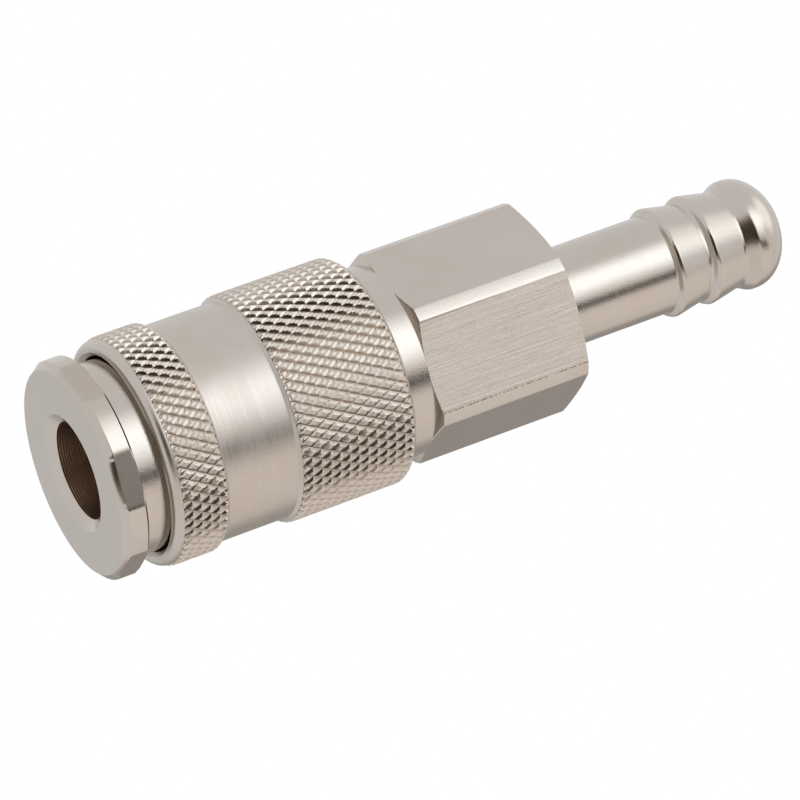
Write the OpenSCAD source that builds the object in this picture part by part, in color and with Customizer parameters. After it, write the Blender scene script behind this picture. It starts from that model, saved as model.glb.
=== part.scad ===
// Quick-release air hose coupling: a socket for a plug, with a knurled release sleeve and a hose tail.
// The coupling stands on its front flange. Z runs from the flange's face to the tip of the hose tail.

/* [Plug socket] */
// Bore that the plug slides into
bore_d = 10.24; // [10.1:0.02:10.5]
// Diameter of the chamfered mouth at the front face
mouth_d = 12.2; // [11.6:0.1:13]
// Depth of the mouth's chamfer
mouth_depth = 0.8; // [0.5:0.1:1.2]
// Distance from the locking balls to the ledge that stops the plug
plug_stop_past_balls = 8.3; // [8:0.1:8.8]

/* [Front flange] */
// Diameter of the flange between its flats
flange_d = 22.8; // [22.3:0.1:23.4]
// Width across the flange's flats
flange_af = 22; // [21.6:0.1:22.2]
// Thickness of the flange
flange_t = 2.75; // [2.2:0.05:3.5]
// Diameter of the flat front face, inside its chamfer
flange_face_d = 21.4; // [20.8:0.1:21.6]
// Chamfer at the flange's back edge
flange_back_chamfer = 0.25; // [0.1:0.05:0.4]
// Diameter of the smooth neck behind the flange
neck_d = 20; // [19.8:0.1:20.2]
// Length of neck that shows between the flange and the sleeve
neck_show = 2.65; // [2:0.05:3.5]

/* [Locking balls] */
// Diameter of each ball
ball_d = 3.2; // [3.1:0.02:3.3]
// How far a locked ball reaches into the bore
ball_reach = 0.52; // [0.4:0.02:0.56]

/* [Release sleeve] */
// Diameter over the crests of the knurls
knurl_d = 24; // [23.9:0.1:24.4]
// Depth of the knurl's grooves
knurl_depth = 0.38; // [0.25:0.01:0.42]
// Diamonds round the sleeve
knurl_count = 64; // [56:2:72]
// Angle between a groove and the sleeve's axis
knurl_angle = 30; // [26:1:34]
// Diameter of the smooth rings beside the knurls
ring_d = 23.6; // [23.5:0.05:23.7]
// Diameter of the plain band between the knurls
band_d = 22.8; // [22.6:0.1:23]
// Length of the smooth ring at the sleeve's front
front_ring_l = 0.95; // [0.85:0.05:1.2]
// Radius of the front ring's rounded edge
front_ring_round = 0.9; // [0.7:0.05:0.9]
// Length of the front knurl
front_knurl_l = 4.85; // [4:0.05:5.2]
// Length of the plain band
band_l = 8.4; // [7.8:0.1:9]
// Length of the rear knurl
rear_knurl_l = 12.5; // [12:0.1:13.2]
// Chamfer at the ends of both knurls
knurl_chamfer = 0.3; // [0.2:0.05:0.4]
// Depth of the front bore, up to the stop
front_bore_l = 5.2; // [5:0.1:5.4]

/* [Hose tail body] */
// Width across the flats of the hexagon
hex_af = 20; // [19.8:0.1:20.1]
// Diameter that the hexagon's corners are turned to
hex_corner_d = 22.26; // [21.8:0.02:22.8]
// Length of the hexagon
hex_l = 17.5; // [15:0.5:20]
// Diameter of the round collar in front of the hexagon
collar_d = 20.2; // [20.16:0.02:20.26]
// Length of collar that shows behind the sleeve
collar_show = 2.95; // [2.9:0.05:3.6]
// Length of the whole collar
collar_l = 6.85; // [6.5:0.05:7.1]
// Diameter of the plain tube
tube_d = 10.4; // [10:0.1:10.8]
// Length from the hexagon to the first barb
tube_l = 13.85; // [11:0.05:16]
// Diameter over the barbs and the bead
barb_d = 11.7; // [11.5:0.1:12.2]
// Distance from one barb to the next
barb_pitch = 4.18; // [3.8:0.02:4.6]
// Number of barbs in front of the bead
barb_count = 2; // [1:1:3]
// Length of the rounded bead at the tip
bead_l = 4.94; // [4.4:0.02:5.6]
// Air passage through the tail
passage_d = 7; // [6.4:0.1:7.2]

/* [Springs] */
// Wire of the sleeve's spring
sleeve_wire = 0.9; // [0.7:0.05:1]
// Coils of the sleeve's spring
sleeve_coils = 5.5; // [4.5:0.5:6.5]
// Wire of the valve's spring
valve_wire = 0.7; // [0.5:0.05:0.8]
// Coils of the valve's spring
valve_coils = 7; // [5:0.5:8]

/* [Valve] */
// Outer diameter of the valve's stem
stem_d = 8; // [7.6:0.1:8.2]
// Wall of the hollow stem
stem_wall = 1.1; // [0.8:0.05:1.3]
// Diameter of the valve's head
head_d = 11.4; // [11.2:0.1:11.6]
// Thickness of the valve's head
head_t = 2.4; // [2:0.1:2.8]
// Distance that a plug pushes the valve open
valve_travel = 3.5; // [3:0.1:4]
// Diameter of the cross holes in the stem
window_d = 2.8; // [2.4:0.1:3]

/* [Seals] */
// Section of the ring that seals the plug
plug_seal_section = 1.7; // [1.5:0.05:1.8]
// Thickness of the valve's flat seal
valve_seal_t = 0.9; // [0.7:0.05:1.1]
// Thickness of the washer between the two bodies
gasket_t = 0.8; // [0.6:0.05:1]

/* [Clearances] */
// Radial gap between the sleeve's mouth and the neck
mouth_gap = 0.25; // [0.2:0.01:0.3]
// Radial gap between the sleeve's rear bore and the collar
collar_gap = 0.15; // [0.12:0.01:0.18]
// Gap between faces that meet across a moving joint
face_gap = 0.05; // [0.03:0.01:0.08]
// Radial gap round a ball in its hole
ball_gap = 0.1; // [0.08:0.01:0.14]
// Radial gap in the thread that joins the two bodies
thread_gap = 0.02; // [0.01:0.01:0.05]

/* [Hidden] */

// One node for each locking ball
ball_count = 6;

$fn = 96;
eps = 0.01;
nickel = [0.74, 0.71, 0.67];
steel = [0.62, 0.62, 0.63];
brass = [0.80, 0.66, 0.40];
rubber = [0.08, 0.08, 0.09];

bore_r = bore_d / 2;
neck_r = neck_d / 2;
ball_r = ball_d / 2;
crest_r = knurl_d / 2;
valley_r = crest_r - knurl_depth;
// The turned core under the knurled skin stays a little below the grooves, and the skin reaches into it
core_r = valley_r - 0.08;
skin_r = core_r - 0.09;
ring_r = ring_d / 2;
band_r = band_d / 2;
collar_r = collar_d / 2;
tube_r = tube_d / 2;
barb_r = barb_d / 2;
passage_r = passage_d / 2;

// The sleeve's outside, from its front to its rear
sleeve_front = flange_t + neck_show;
front_knurl_z = sleeve_front + front_ring_l;
front_knurl_end = front_knurl_z + front_knurl_l;
rear_knurl_z = front_knurl_end + band_l;
rear_knurl_end = rear_knurl_z + rear_knurl_l;
sleeve_rear = rear_knurl_end + knurl_chamfer;
hex_front = sleeve_rear + collar_show;
hex_rear = hex_front + hex_l;

// Release: the sleeve slides back almost to the hexagon's shoulder, and the balls climb its cone
stop_margin = 0.15;
sleeve_travel = collar_show - stop_margin;
ball_clear = 0.04;
ball_lift = ball_reach + ball_clear;
cone_slope = ball_lift / sleeve_travel;
cone_angle = atan(cone_slope);
ball_slack = 0.03;
ball_at_r = bore_r + ball_r - ball_reach;
// How far a locked ball stands out of its cage
ball_stand = 0.3;
cage_r = ball_at_r + ball_r - ball_stand;
stop_z = sleeve_front + front_bore_l;
// Taper left in front of the balls when the sleeve is back
taper_margin = 0.8;
ball_z = stop_z + sleeve_travel + taper_margin;
cone_at_ball_r = ball_at_r + (ball_r + ball_slack) / cos(cone_angle);
cone_front_r = cone_at_ball_r + (ball_z - stop_z) * cone_slope;
cone_past_ball = 0.6;
land_r = cone_at_ball_r - cone_past_ball * cone_slope;
land_past_ball = 2.8;
land_end = ball_z + land_past_ball;
sleeve_mouth_r = neck_r + mouth_gap;
sleeve_rear_bore_r = collar_r + collar_gap;

// Inside of the front body: the guide bore ends in an undercut, and from there on it is relieved
relief = 0.3;
relief_before_balls = 1.9;
undercut = 0.7;
undercut_l = 0.9;
undercut_end = ball_z - relief_before_balls;
guide_end = undercut_end - undercut_l;
seal_play = 0.6;
seal_past_balls = 4.45;
seal_reach = 0.29;
seal_gap = 0.02;
seal_groove_l = plug_seal_section + seal_play;
seal_z = ball_z + seal_past_balls;
seal_ring_r = bore_r + plug_seal_section / 2 - seal_reach;
seal_groove_r = seal_ring_r + plug_seal_section / 2 + seal_gap;
plug_stop_z = ball_z + plug_stop_past_balls;
seat_t = 1.5;
seat_z = plug_stop_z + seat_t;
stem_gap = 0.3;
head_gap = 0.6;
seat_hole_r = stem_d / 2 + stem_gap;
chamber_r = head_d / 2 + head_gap;

// The joint between the two bodies
collar_front = hex_front - collar_l;
joint_r = 8;
// Neck of the thread in front of the collar
joint_neck_l = 7;
// Distance from the front body's end to the hexagon
joint_before_hex = 1.85;
joint_front = collar_front - joint_neck_l;
front_body_end = hex_front - joint_before_hex;
gasket_end = front_body_end + gasket_t;
spring_pocket_r = 5.4;
spring_pocket_l = 5.7;
spring_pocket_end = gasket_end + spring_pocket_l;

// The valve
stem_front = plug_stop_z - valve_travel;
head_front = seat_z + face_gap + valve_seal_t;
head_back = head_front + head_t;
boss_r = 3.4;
boss_l = 2.2;
window_before_seat = 1.7;
window_z = seat_z - window_before_seat;

// The hose tail
barb_front = hex_rear + tube_l;
barb_step = 0.4;
bead_front = barb_front + barb_count * barb_pitch;
tail_end = bead_front + bead_l;
// Rim left at the very tip, and its length from the bead's crest
tip_wall = 0.2;
tip_l = 3.1;
tip_r = passage_r + tip_wall;

function arc(centre, rx, ry, from, to, steps) =
    [for (i = [0:steps])
        let (a = from + (to - from) * i / steps)
            centre + [rx * cos(a), ry * sin(a)]];

module hexagon_bar(across, low, high) {
    translate([0, 0, low]) cylinder(d = across / cos(30), h = high - low, $fn = 6);
}

module turned(profile) {
    rotate_extrude() polygon(profile);
}

module bore(r, low, high) {
    translate([0, 0, low]) cylinder(r = r, h = high - low);
}

// Front body: the flange with six short flats, the neck, the ball cage and the threaded end
module flange() {
    face_r = flange_face_d / 2;
    edge_r = flange_d / 2;
    intersection() {
        turned([[0, 0], [face_r, 0], [edge_r, edge_r - face_r], [edge_r, flange_t - flange_back_chamfer],
            [edge_r - flange_back_chamfer, flange_t], [0, flange_t]]);
        hexagon_bar(flange_af, -1, flange_t + 1);
    }
}

module ball_holes() {
    // The holes narrow inwards, so that no ball drops into the bore
    cone_l = 0.8;
    narrowing = 0.77;
    hole_r = ball_r + ball_gap;
    lip_r = bore_r + relief + 0.3;
    for (i = [0:ball_count - 1]) rotate([0, 0, i * 360 / ball_count]) translate([0, 0, ball_z]) {
        translate([lip_r, 0, 0]) rotate([0, 90, 0])
            cylinder(r = hole_r, h = cage_r - lip_r + 1);
        translate([lip_r - cone_l, 0, 0]) rotate([0, 90, 0])
            cylinder(r1 = hole_r - cone_l * narrowing, r2 = hole_r, h = cone_l + eps);
    }
}

module front_body() {
    shoulder_z = stop_z - face_gap;
    color(nickel) difference() {
        union() {
            flange();
            bore(neck_r, flange_t - eps, shoulder_z);
            bore(cage_r, shoulder_z - eps, joint_front);
            bore(joint_r - thread_gap, joint_front - eps, front_body_end);
        }
        turned([[0, -eps], [mouth_d / 2 + eps, -eps], [mouth_d / 2, 0], [bore_r, mouth_depth],
            [0, mouth_depth]]);
        bore(bore_r, -eps, guide_end + eps);
        bore(bore_r + undercut, guide_end, undercut_end);
        bore(bore_r + relief, undercut_end - eps, plug_stop_z);
        bore(seal_groove_r, seal_z - seal_groove_l / 2, seal_z + seal_groove_l / 2);
        bore(seat_hole_r, plug_stop_z - eps, seat_z + eps);
        bore(chamber_r, seat_z, front_body_end + 1);
        ball_holes();
    }
}

// Rear body: collar, hexagon with turned corners, and the hose tail, turned from one bar
module tail_profile() {
    edge_r = barb_r - 0.15;
    edge_z = 0.25;
    groove_l = 0.35;
    bead_edge_r = 1.1;
    barbs = [for (i = [0:barb_count - 1])
        let (z = barb_front + i * barb_pitch)
            each [[tube_r, z], [edge_r, z + edge_z], [barb_r, z + barb_step],
                [tube_r, z + barb_pitch - groove_l]]];
    bead_centre = [barb_r - bead_edge_r, bead_front + bead_edge_r];
    bead_round = arc(bead_centre, bead_edge_r, bead_edge_r, -50, 0, 6);
    tip_angle = acos(tip_r / barb_r);
    tip_round = arc([0, tail_end - tip_l], barb_r, tip_l / sin(tip_angle), 0, tip_angle, 12);
    turned(concat([[0, hex_rear - 1], [tube_r, hex_rear - 1]], barbs, [[tube_r, bead_front + 0.05]],
        bead_round, tip_round, [[0, tail_end]]));
}

module hexagon_section() {
    corner_r = hex_corner_d / 2;
    rear_face_r = hex_af / 2 - 0.2;
    front_cone_l = (corner_r - collar_r) * tan(24);
    rear_cone_l = (corner_r - rear_face_r) * tan(15);
    intersection() {
        turned([[0, hex_front], [collar_r, hex_front], [corner_r, hex_front + front_cone_l],
            [corner_r, hex_rear - rear_cone_l], [rear_face_r, hex_rear], [0, hex_rear]]);
        hexagon_bar(hex_af, hex_front - 1, hex_rear + 1);
    }
}

module rear_body() {
    tip_chamfer = 0.15;
    color(nickel) difference() {
        union() {
            bore(collar_r, collar_front, hex_front + eps);
            hexagon_section();
            tail_profile();
        }
        bore(joint_r, collar_front - 1, gasket_end);
        bore(spring_pocket_r, gasket_end - eps, spring_pocket_end);
        bore(passage_r, spring_pocket_end - eps, tail_end + 1);
        translate([0, 0, tail_end - tip_chamfer])
            cylinder(r1 = passage_r, r2 = passage_r + 2 * tip_chamfer, h = 2 * tip_chamfer);
    }
}

// One ring of knurled skin: crests and groove crossings take turns along each row
module knurl(low, length) {
    groove_pitch = PI * knurl_d / knurl_count;
    rows = max(2, round(2 * length * tan(knurl_angle) / groove_pitch));
    sides = 2 * knurl_count;
    lip = 0.1;
    function ring_points(z, offset, high, low_r) =
        [for (i = [0:sides - 1])
            let (a = i * 360 / sides, r = (i + offset) % 2 == 0 ? low_r : high)
                [r * cos(a), r * sin(a), z]];
    rings = concat(
        [ring_points(low - lip, 0, skin_r, skin_r)],
        [ring_points(low - lip, 0, valley_r - eps, valley_r - eps)],
        [for (j = [0:rows]) ring_points(low + length * j / rows, j, crest_r, valley_r)],
        [ring_points(low + length + lip, rows, valley_r - eps, valley_r - eps)],
        [ring_points(low + length + lip, rows, skin_r, skin_r)]);
    total = len(rings);
    // The short side of each cell follows the groove, so the shared edge joins two crossings
    function leans(j, i) = (i + j) % 2 == 0;
    faces = [for (j = [0:total - 1], i = [0:sides - 1])
        let (k = (j + 1) % total, n = (i + 1) % sides,
            a = j * sides + i, b = j * sides + n, c = k * sides + n, d = k * sides + i)
            each leans(j, i) ? [[a, d, c], [a, c, b]] : [[a, d, b], [b, d, c]]];
    polyhedron([for (r = rings) each r], faces);
}

module sleeve_blank() {
    round_r = front_ring_round;
    turned(concat(
        [[land_r - 1, sleeve_front], [ring_r - round_r, sleeve_front]],
        arc([ring_r - round_r, sleeve_front + round_r], round_r, round_r, -80, 0, 8),
        [[ring_r, front_knurl_z], [core_r, front_knurl_z], [core_r, front_knurl_end],
        [ring_r, front_knurl_end], [band_r, front_knurl_end + knurl_chamfer],
        [band_r, rear_knurl_z - knurl_chamfer], [ring_r, rear_knurl_z], [core_r, rear_knurl_z],
        [core_r, rear_knurl_end], [ring_r, rear_knurl_end], [ring_r - knurl_chamfer, sleeve_rear],
        [land_r - 1, sleeve_rear]]));
}

module release_sleeve() {
    mouth_chamfer = 0.45;
    color(nickel) difference() {
        union() {
            sleeve_blank();
            knurl(front_knurl_z, front_knurl_l);
            knurl(rear_knurl_z, rear_knurl_l);
        }
        translate([0, 0, sleeve_front - eps])
            cylinder(r1 = sleeve_mouth_r + mouth_chamfer, r2 = sleeve_mouth_r, h = mouth_chamfer);
        bore(sleeve_mouth_r, sleeve_front - 1, stop_z);
        translate([0, 0, stop_z - eps])
            cylinder(r1 = cone_front_r, r2 = land_r, h = ball_z + cone_past_ball - stop_z + eps);
        bore(land_r, stop_z, land_end + eps);
        bore(sleeve_rear_bore_r, land_end, sleeve_rear + 1);
    }
}

// A coil spring with closed end coils, swept round the axis as one tube
module coil_spring(mean_r, wire, coils, low, high) {
    wire_sides = 6;
    steps_per_turn = 20;
    steps = round(coils * steps_per_turn);
    wire_r = wire / 2;
    dead = 0.9;
    dead_rise = 0.95 * wire;
    open_rise = high - low - wire - 2 * dead_rise;
    function rise(t) = t < dead ? dead_rise * t / dead
        : t > coils - dead ? dead_rise + open_rise + dead_rise * (t - coils + dead) / dead
        : dead_rise + open_rise * (t - dead) / (coils - 2 * dead);
    points = [for (s = [0:steps])
        let (t = coils * s / steps, a = 360 * t)
            for (k = [0:wire_sides - 1])
                let (b = 360 * (k + 0.5) / wire_sides, r = mean_r + wire_r * cos(b))
                    [r * cos(a), r * sin(a), low + wire_r + rise(t) + wire_r * sin(b)]];
    side = [for (s = [0:steps - 1], k = [0:wire_sides - 1])
        let (n = (k + 1) % wire_sides, a = s * wire_sides)
            [a + k, a + wire_sides + k, a + wire_sides + n, a + n]];
    start = [[for (k = [0:wire_sides - 1]) k]];
    finish = [[for (k = [wire_sides - 1:-1:0]) steps * wire_sides + k]];
    polyhedron(points, concat(side, start, finish));
}

module sleeve_spring() {
    // Nearer to the sleeve's bore than to the cage
    mean_r = (cage_r + sleeve_rear_bore_r) / 2 + 0.25;
    low = land_end + face_gap;
    high = collar_front - face_gap;
    color(steel) coil_spring(mean_r, sleeve_wire, sleeve_coils, low, high);
}

module valve_spring() {
    boss_gap = 0.35;
    mean_r = boss_r + valve_wire / 2 + boss_gap;
    low = head_back + face_gap;
    high = spring_pocket_end - face_gap;
    color(steel) coil_spring(mean_r, valve_wire, valve_coils, low, high);
}

module ball(i) {
    color(steel) rotate([0, 0, i * 360 / ball_count]) translate([ball_at_r, 0, ball_z]) sphere(r = ball_r);
}

module ring_seal(ring_r, section_r, z) {
    rotate_extrude() translate([ring_r, z]) circle(r = section_r);
}

module plug_seal() {
    color(rubber) ring_seal(seal_ring_r, plug_seal_section / 2, seal_z);
}

// Valve: a hollow stem with four cross holes, a head that shuts the seat, and a boss inside the spring
module valve_poppet() {
    stem_r = stem_d / 2;
    color(brass) difference() {
        union() {
            bore(stem_r, stem_front, head_front + eps);
            bore(head_d / 2, head_front, head_back);
            bore(boss_r, head_back - eps, head_back + boss_l);
        }
        bore(stem_r - stem_wall, stem_front - 1, seat_z);
        for (turn = [45, 135]) rotate([0, 0, turn]) translate([0, 0, window_z])
            rotate([0, 90, 0]) cylinder(d = window_d, h = stem_d + 2, center = true);
    }
}

module valve_seal() {
    inset = 0.1;
    color(rubber) difference() {
        bore(head_d / 2 - inset, seat_z + face_gap, head_front);
        bore(stem_d / 2, seat_z - 1, head_front + 1);
    }
}

module body_gasket() {
    inset = 0.1;
    color(rubber) difference() {
        bore(joint_r - inset, front_body_end, gasket_end);
        bore(chamber_r + 2 * inset, front_body_end - 1, gasket_end + 1);
    }
}

front_body();
rear_body();
release_sleeve();
sleeve_spring();
for (i = [1:ball_count]) ball(i - 1);
plug_seal();
valve_poppet();
valve_seal();
valve_spring();
body_gasket();
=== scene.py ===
"""Hose tail coupling: the finished pieces, their metals and the studio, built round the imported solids.

Outlines are in millimetres, as on a turner's drawing, and everything in the scene is in metres.
"""

import math

import bmesh
import bpy
import numpy as np
from bpy.props import FloatProperty, FloatVectorProperty, IntProperty, PointerProperty
from mathutils import Matrix, Vector


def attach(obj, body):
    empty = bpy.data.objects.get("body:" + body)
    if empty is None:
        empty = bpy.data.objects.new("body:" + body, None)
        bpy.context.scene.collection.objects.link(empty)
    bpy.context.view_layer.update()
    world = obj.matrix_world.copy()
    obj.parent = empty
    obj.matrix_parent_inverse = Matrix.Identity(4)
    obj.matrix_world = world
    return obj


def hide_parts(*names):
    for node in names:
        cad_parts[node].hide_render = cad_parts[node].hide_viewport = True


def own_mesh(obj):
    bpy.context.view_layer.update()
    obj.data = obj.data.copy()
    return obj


bl_info = {
    "name": "Hose Tail Coupling",
    "version": (1, 0, 0),
    "blender": (4, 5, 0),
    "location": "3D View > Sidebar > Coupling",
    "description": "Builds a knurled quick-release air hose coupling with its metals and studio",
    "category": "Add Mesh",
}

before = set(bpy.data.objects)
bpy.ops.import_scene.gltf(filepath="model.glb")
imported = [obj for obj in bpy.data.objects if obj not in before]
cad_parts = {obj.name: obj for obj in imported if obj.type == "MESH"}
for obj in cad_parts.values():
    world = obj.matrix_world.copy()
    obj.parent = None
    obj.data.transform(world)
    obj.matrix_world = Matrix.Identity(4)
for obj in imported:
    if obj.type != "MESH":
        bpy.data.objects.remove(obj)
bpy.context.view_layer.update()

MM = 0.001
PER_METRE = 1000.0

# Heights above the flange's face, in millimetres
MOUTH_END = 0.8
FLANGE_TOP = 2.75
SLEEVE_FRONT = 5.4
FRONT_KNURL_LOW = 6.35
STOP_SHOULDER = 10.55
SLEEVE_STOP = 10.6
FRONT_KNURL_HIGH = 11.2
BAND_LOW = 11.5
GUIDE_END = 11.4
UNDERCUT_END = 12.3
BALL_HEIGHT = 14.2
TAPER_END = 14.8
LAND_END = 17.0
SEAL_HEIGHT = 18.65
STEM_FRONT = 19.0
BAND_HIGH = 19.3
REAR_KNURL_LOW = 19.6
NECK_OF_THREAD = 21.5
CROSS_HOLES = 22.3
PLUG_STOP = 22.5
SEAT = 24.0
HEAD_FRONT = 24.95
HEAD_BACK = 27.35
COLLAR_FRONT = 28.5
BOSS_END = 29.55
REAR_KNURL_HIGH = 32.1
SLEEVE_REAR = 32.4
FRONT_BODY_END = 33.5
GASKET_END = 34.3
HEX_FRONT = 35.35
POCKET_END = 40.0
HEX_REAR = 52.85
FIRST_BARB = 66.7
BARB_PITCH = 4.18
BEAD_FRONT = 75.06
TAIL_END = 80.0

# Radii in millimetres
BORE_R = 5.12
RELIEF_R = 5.42
UNDERCUT_R = 5.82
MOUTH_R = 6.1
FACE_R = 10.7
FLANGE_R = 11.4
NECK_R = 10.0
CAGE_R = 7.5
THREAD_R = 7.98
CHAMBER_R = 6.3
SEAT_R = 4.3
SEAL_GROOVE_R = 6.55
SEAL_MIDDLE_R = 5.68
SEAL_SECTION_R = 0.85
SLEEVE_BORE_R = 10.25
LAND_R = 7.74
TAPER_FRONT_R = 8.58
RING_R = 11.8
BAND_R = 11.4
CORE_R = 11.5
COLLAR_R = 10.1
JOINT_R = 8.0
POCKET_R = 5.4
HEX_REAR_R = 9.8
TUBE_R = 5.2
BARB_R = 5.85
PASSAGE_R = 3.5
BALL_R = 1.6
BALL_AT_R = 6.2
BALL_HOLE_R = 1.7
BALL_LIP_R = 1.084
STEM_R = 4.0
STEM_BORE_R = 2.9
CROSS_HOLE_R = 1.4
HEAD_R = 5.7
BOSS_R = 3.4
SLEEVE_SPRING_R = 9.125
VALVE_SPRING_R = 4.1

# Other lengths in millimetres
EASED_EDGE = 0.07
EDGE_SUPPORT = 0.05
SEAL_GROOVE_HALF = 1.15
SPRING_GAP = 0.05
SLEEVE_TRAVEL = 2.8
VALVE_TRAVEL = 3.5
KNURL_CHAMFER = 0.3


def length_property(name, default, description):
    """A length in metres."""
    return FloatProperty(name=name, description=description, default=default, unit="LENGTH", precision=5)


def number_property(name, default, description):
    """A plain number."""
    return FloatProperty(name=name, description=description, default=default)


def share_property(name, default, description):
    """A share from 0 to 1."""
    return FloatProperty(name=name, description=description, default=default, subtype="FACTOR")


def count_property(name, default, description):
    """A whole number."""
    return IntProperty(name=name, description=description, default=default)


def colour_property(name, default, description):
    """A colour without alpha."""
    return FloatVectorProperty(name=name, description=description, default=default, subtype="COLOR")


class SleeveSizes(bpy.types.PropertyGroup):
    """Sizes of the knurled release sleeve."""

    knurl_diameter: length_property("Knurl diameter", 0.024, "Diameter over the crests of both knurls")
    groove_depth: length_property("Groove depth", 0.00024, "Depth of the crossed grooves below the crests")
    diamonds_round: count_property("Diamonds round", 64, "Number of diamonds in one turn")
    front_rows: count_property("Front rows", 5, "Half rows of diamonds along the front knurl")
    rear_rows: count_property("Rear rows", 12, "Half rows of diamonds along the rear knurl")
    flank_share: share_property("Flank share", 0.235, "Share of a diamond's width in each sloping flank")
    ridge_share: share_property("Ridge share", 0.2, "A diamond's ridges, as a share of the groove depth")
    unevenness: share_property("Unevenness", 0.4, "How much the ridges differ from one to the next")


class BodySizes(bpy.types.PropertyGroup):
    """Sizes of the turned front body and of the hexagon and hose tail."""

    flange_across: length_property("Flange flats", 0.022, "Width across the flange's six short flats")
    hexagon_across: length_property("Hexagon flats", 0.020, "Width across the flats of the hexagon")
    turned_corner: length_property("Turned corners", 0.02226, "Diameter of the hexagon's turned corners")


class SpringSizes(bpy.types.PropertyGroup):
    """Sizes of the two coil springs."""

    sleeve_wire: length_property("Sleeve spring wire", 0.0009, "Wire of the spring that pushes the sleeve")
    sleeve_coils: number_property("Sleeve spring coils", 5.5, "Turns of the spring that pushes the sleeve")
    valve_wire: length_property("Valve spring wire", 0.0007, "Wire of the spring that shuts the valve")
    valve_coils: number_property("Valve spring coils", 7.0, "Turns of the spring that shuts the valve")


class FinishColours(bpy.types.PropertyGroup):
    """Colours of the metals and the seals."""

    nickel: colour_property("Nickel", (0.59, 0.545, 0.50), "The nickel plating")
    nickel_warm: colour_property("Warm nickel", (0.57, 0.505, 0.44), "The plating where it is thinner")
    # Crest: the crests' polish from the rolling, together with a painted highlight
    crest: colour_property("Crest", (0.74, 0.67, 0.60), "The knurl's crests, polished by the rolling")
    # Painted highlight: the knurl's steeper grooves painted lighter, standing in for the light that they
    # reflect
    groove_highlight: colour_property("Groove", (0.79, 0.75, 0.70), "The knurl's steeper and brighter grooves")
    # Dark tone: painted shade with some stain for the knurl's grooves, also taken in part by the flange's
    # milled flats
    dark_tone: colour_property("Dark", (0.32, 0.25, 0.19), "The plating down in the knurl's grooves")
    # Edge: the ragged dark line along the brushed flat's edge, the flat's deepest lines and the bore's
    # darker rings
    edge_tone: colour_property("Edge", (0.10, 0.075, 0.055), "The brushed flat's burr and deepest lines")
    # The brushed flat's tone is painted lighter, standing in for the light that the flat catches
    brushed_and_lit_tone: colour_property("Brushed flat", (0.80, 0.72, 0.65), "The hexagon's brushed flat")
    bore_tone: colour_property("Bore", (0.64, 0.49, 0.37), "The bore, where the brass shows through")
    spring_steel: colour_property("Spring steel", (0.42, 0.42, 0.43), "The spring wire")
    ball_steel: colour_property("Ball steel", (0.58, 0.58, 0.59), "The hardened balls")
    brass: colour_property("Brass", (0.62, 0.44, 0.18), "The bare brass valve")
    rubber: colour_property("Rubber", (0.018, 0.018, 0.02), "The seals")


class StudioSettings(bpy.types.PropertyGroup):
    """Levels of the studio's light."""

    tent_level: number_property("Tent level", 0.84, "Brightness of the white tent round the coupling")
    key_level: number_property("Key panel", 0.85, "Extra brightness of the soft panel beside the camera")
    side_level: number_property("Side panel", 0.6, "Extra brightness of that panel's far end")
    gap_depth: share_property("Gap depth", 0.9, "How dark the gap beside the lens's opening is")
    lens_depth: share_property("Lens depth", 0.93, "How dark the lens's opening in the tent is")
    table_depth: share_property("Table depth", 0.55, "How much dimmer the table's edge is than the tent")
    lamp_power: FloatProperty(name="Lamp", description="Power of the soft lamp", default=0.04, unit="POWER")
    floor_tone: colour_property("Floor", (0.86, 0.86, 0.86), "The plain floor")


def new_object(name, data):
    """Links a mesh, lamp or camera to the scene as an object at the origin."""
    made = bpy.data.objects.new(name, data)
    bpy.context.scene.collection.objects.link(made)
    return made


def settle(thing):
    """Turns what an object's modifiers make into its own mesh, and removes them."""
    bpy.context.view_layer.update()
    graph = bpy.context.evaluated_depsgraph_get()
    made = bpy.data.meshes.new_from_object(thing.evaluated_get(graph))
    thing.modifiers.clear()
    old = thing.data
    thing.data = made
    bpy.data.meshes.remove(old)
    if not made.polygons:
        raise RuntimeError(f"{thing.name} came out with no faces")


def rounded(corners, segments=3):
    """A closed outline of (radius, height) points, with each corner eased by a small arc.

    A corner's third value, if it has one, is its own radius, and 0 keeps it sharp.
    """
    points = []
    count = len(corners)
    nearly_straight = math.pi - 0.06
    for i, corner in enumerate(corners):
        here = np.array(corner[:2], float)
        before = np.array(corners[i - 1][:2], float) - here
        after = np.array(corners[(i + 1) % count][:2], float) - here
        before_l = np.linalg.norm(before)
        after_l = np.linalg.norm(after)
        before /= before_l
        after /= after_l
        angle = math.acos(max(-1.0, min(1.0, float(before @ after))))
        radius = corner[2] if len(corner) > 2 else EASED_EDGE
        if radius <= 0 or angle > nearly_straight:
            points.append(tuple(here))
            continue
        reach = min(radius / math.tan(angle / 2), 0.4 * before_l, 0.4 * after_l)
        radius = reach * math.tan(angle / 2)
        middle = before + after
        centre = here + middle / np.linalg.norm(middle) * radius / math.sin(angle / 2)
        start = here + before * reach - centre
        end = here + after * reach - centre
        turn = math.pi - angle
        held = min(EDGE_SUPPORT, 0.3 * (before_l - reach), 0.3 * (after_l - reach))
        points.append(tuple(here + before * (reach + held)))
        for k in range(segments + 1):
            share = k / segments
            arc = math.sin((1 - share) * turn) * start + math.sin(share * turn) * end
            points.append(tuple(centre + arc / math.sin(turn)))
        points.append(tuple(here + after * (reach + held)))
    return points


def arc_points(centre, radius_x, radius_y, start, end, steps):
    """Points on an arc of an ellipse in the outline's plane, by angle in degrees."""
    points = []
    for k in range(steps + 1):
        angle = math.radians(start + (end - start) * k / steps)
        points.append((centre[0] + radius_x * math.cos(angle), centre[1] + radius_y * math.sin(angle)))
    return points


def soft_least(a, b, width):
    """The lesser of two arrays with the crossing rounded over, and the share of the first."""
    share = np.clip(0.5 + 0.5 * (b - a) / width, 0, 1)
    return b * (1 - share) + a * share - width * share * (1 - share), share


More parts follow.
